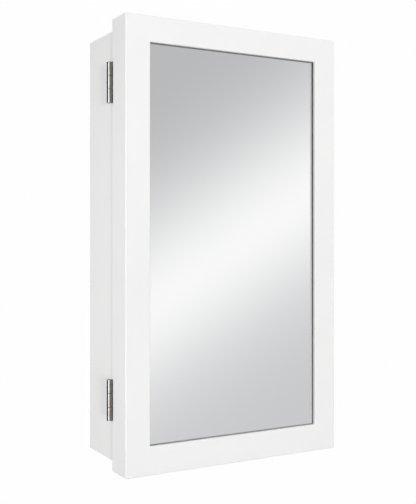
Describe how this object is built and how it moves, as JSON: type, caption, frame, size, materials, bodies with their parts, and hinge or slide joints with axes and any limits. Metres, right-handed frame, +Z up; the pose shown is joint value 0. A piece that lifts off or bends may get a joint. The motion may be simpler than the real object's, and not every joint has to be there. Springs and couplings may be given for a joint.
{
  "type": "medicine cabinet",
  "caption": "Wall-hung medicine cabinet: shallow white wooden case with adjustable shelves behind a thick framed mirror door on butt hinges, held shut by magnetic catches.",
  "frame": {"origin": "centre of the carcass's back face, on the wall", "axes": "+Z up, +Y into the wall, the door faces -Y, +X to the right of a person facing the door"},
  "size_m": [0.3755, 0.142, 0.66],
  "materials": {
    "white_paint": "satin white paint on wood",
    "white_board": "white-faced hardboard",
    "mirror": "silvered glass",
    "nickel": "satin nickel plate",
    "zinc": "bright zinc plate",
    "beech": "bare beech",
    "sleeve_plastic": "moulded white plastic",
    "ferrite": "sintered",
    "clear_rubber": "clear soft rubber"
  },
  "bodies": {
    "cabinet": {"side_panel_left": "white_paint", "side_panel_right": "white_paint", "top_panel": "white_paint", "bottom_panel": "white_paint", "hanging_rail_top": "white_paint", "hanging_rail_bottom": "white_paint", "shelf_lower": "white_paint", "shelf_middle": "white_paint", "shelf_upper": "white_paint", "back_panel": "white_board", "hinge_upper_body_leaf": "nickel", "hinge_lower_body_leaf": "nickel", "hinge_upper_pin": "nickel", "hinge_lower_pin": "nickel", "hinge_body_screws": "nickel", "shelf_pins": "nickel", "back_panel_screws": "zinc", "carcass_dowels": "beech", "catch_sleeves": "sleeve_plastic", "catch_magnets": "ferrite", "door_bumpers": "clear_rubber"},
    "door": {"door_stile_left": "white_paint", "door_stile_right": "white_paint", "door_rail_top": "white_paint", "door_rail_bottom": "white_paint", "door_frame_dowels": "beech", "mirror_glass": "mirror", "mirror_backing_board": "white_board", "mirror_batten_left": "white_paint", "mirror_batten_right": "white_paint", "mirror_batten_top": "white_paint", "mirror_batten_bottom": "white_paint", "batten_screws": "zinc", "hinge_upper_door_leaf": "nickel", "hinge_lower_door_leaf": "nickel", "hinge_door_screws": "nickel", "strike_plates": "zinc", "strike_screws": "zinc"}
  },
  "joints": [
    {"name": "door_hinge", "type": "hinge", "parent": "cabinet", "child": "door", "pos_m": [-0.18025, -0.0915, 0], "axis": [0, 0, -1], "range_deg": [0, 180]}
  ]
}
